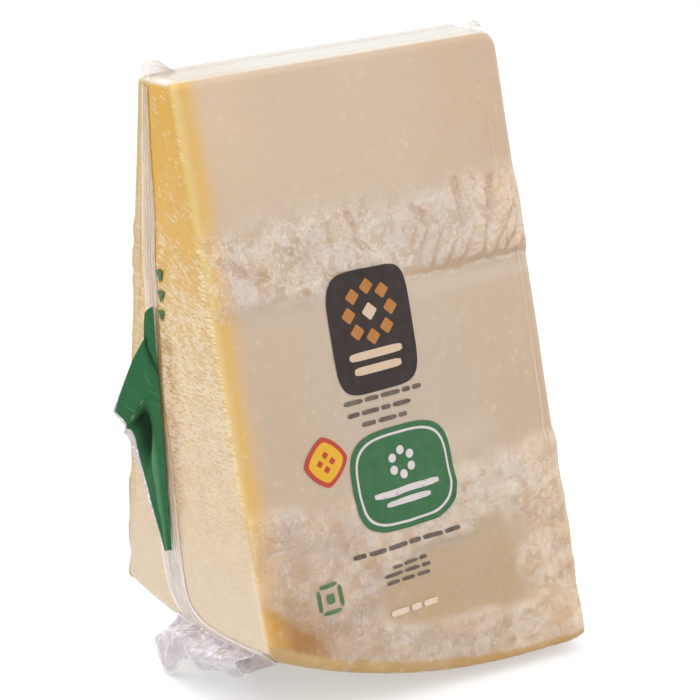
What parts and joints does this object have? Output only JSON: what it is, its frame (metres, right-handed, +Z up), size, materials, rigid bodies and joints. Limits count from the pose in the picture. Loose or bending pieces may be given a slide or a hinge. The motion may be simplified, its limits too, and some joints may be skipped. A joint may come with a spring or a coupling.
{
  "type": "vacuum-packed wedge of hard cheese",
  "caption": "Tall wedge of hard cheese in clear shrink film, with rough and smooth cut faces, a back seam, a green tear flap and a crumpled film tail.",
  "frame": {"origin": "centre of the small flat spot on the rind that the wedge stands on, on the floor", "axes": "+Z up; the front cut, with the print, faces -Y; the flat rind with the seam faces -X and the middle cut faces +X"},
  "size_m": [0.1215, 0.0861, 0.1812],
  "materials": {
    "cheese_in_film": "pale straw cheese under tight clear film, glossy where smooth and softly lit where rough",
    "seam_film": "clear film, doubled and creased",
    "green_film": "film printed plain green",
    "tail_film": "crumpled clear film"
  },
  "bodies": {
    "root": {"cheese_wedge": "cheese_in_film", "back_seam": "seam_film", "tear_flap": "green_film", "film_tail": "tail_film", "film_ear_left": "tail_film", "film_ear_right": "tail_film"}
  },
  "joints": []
}
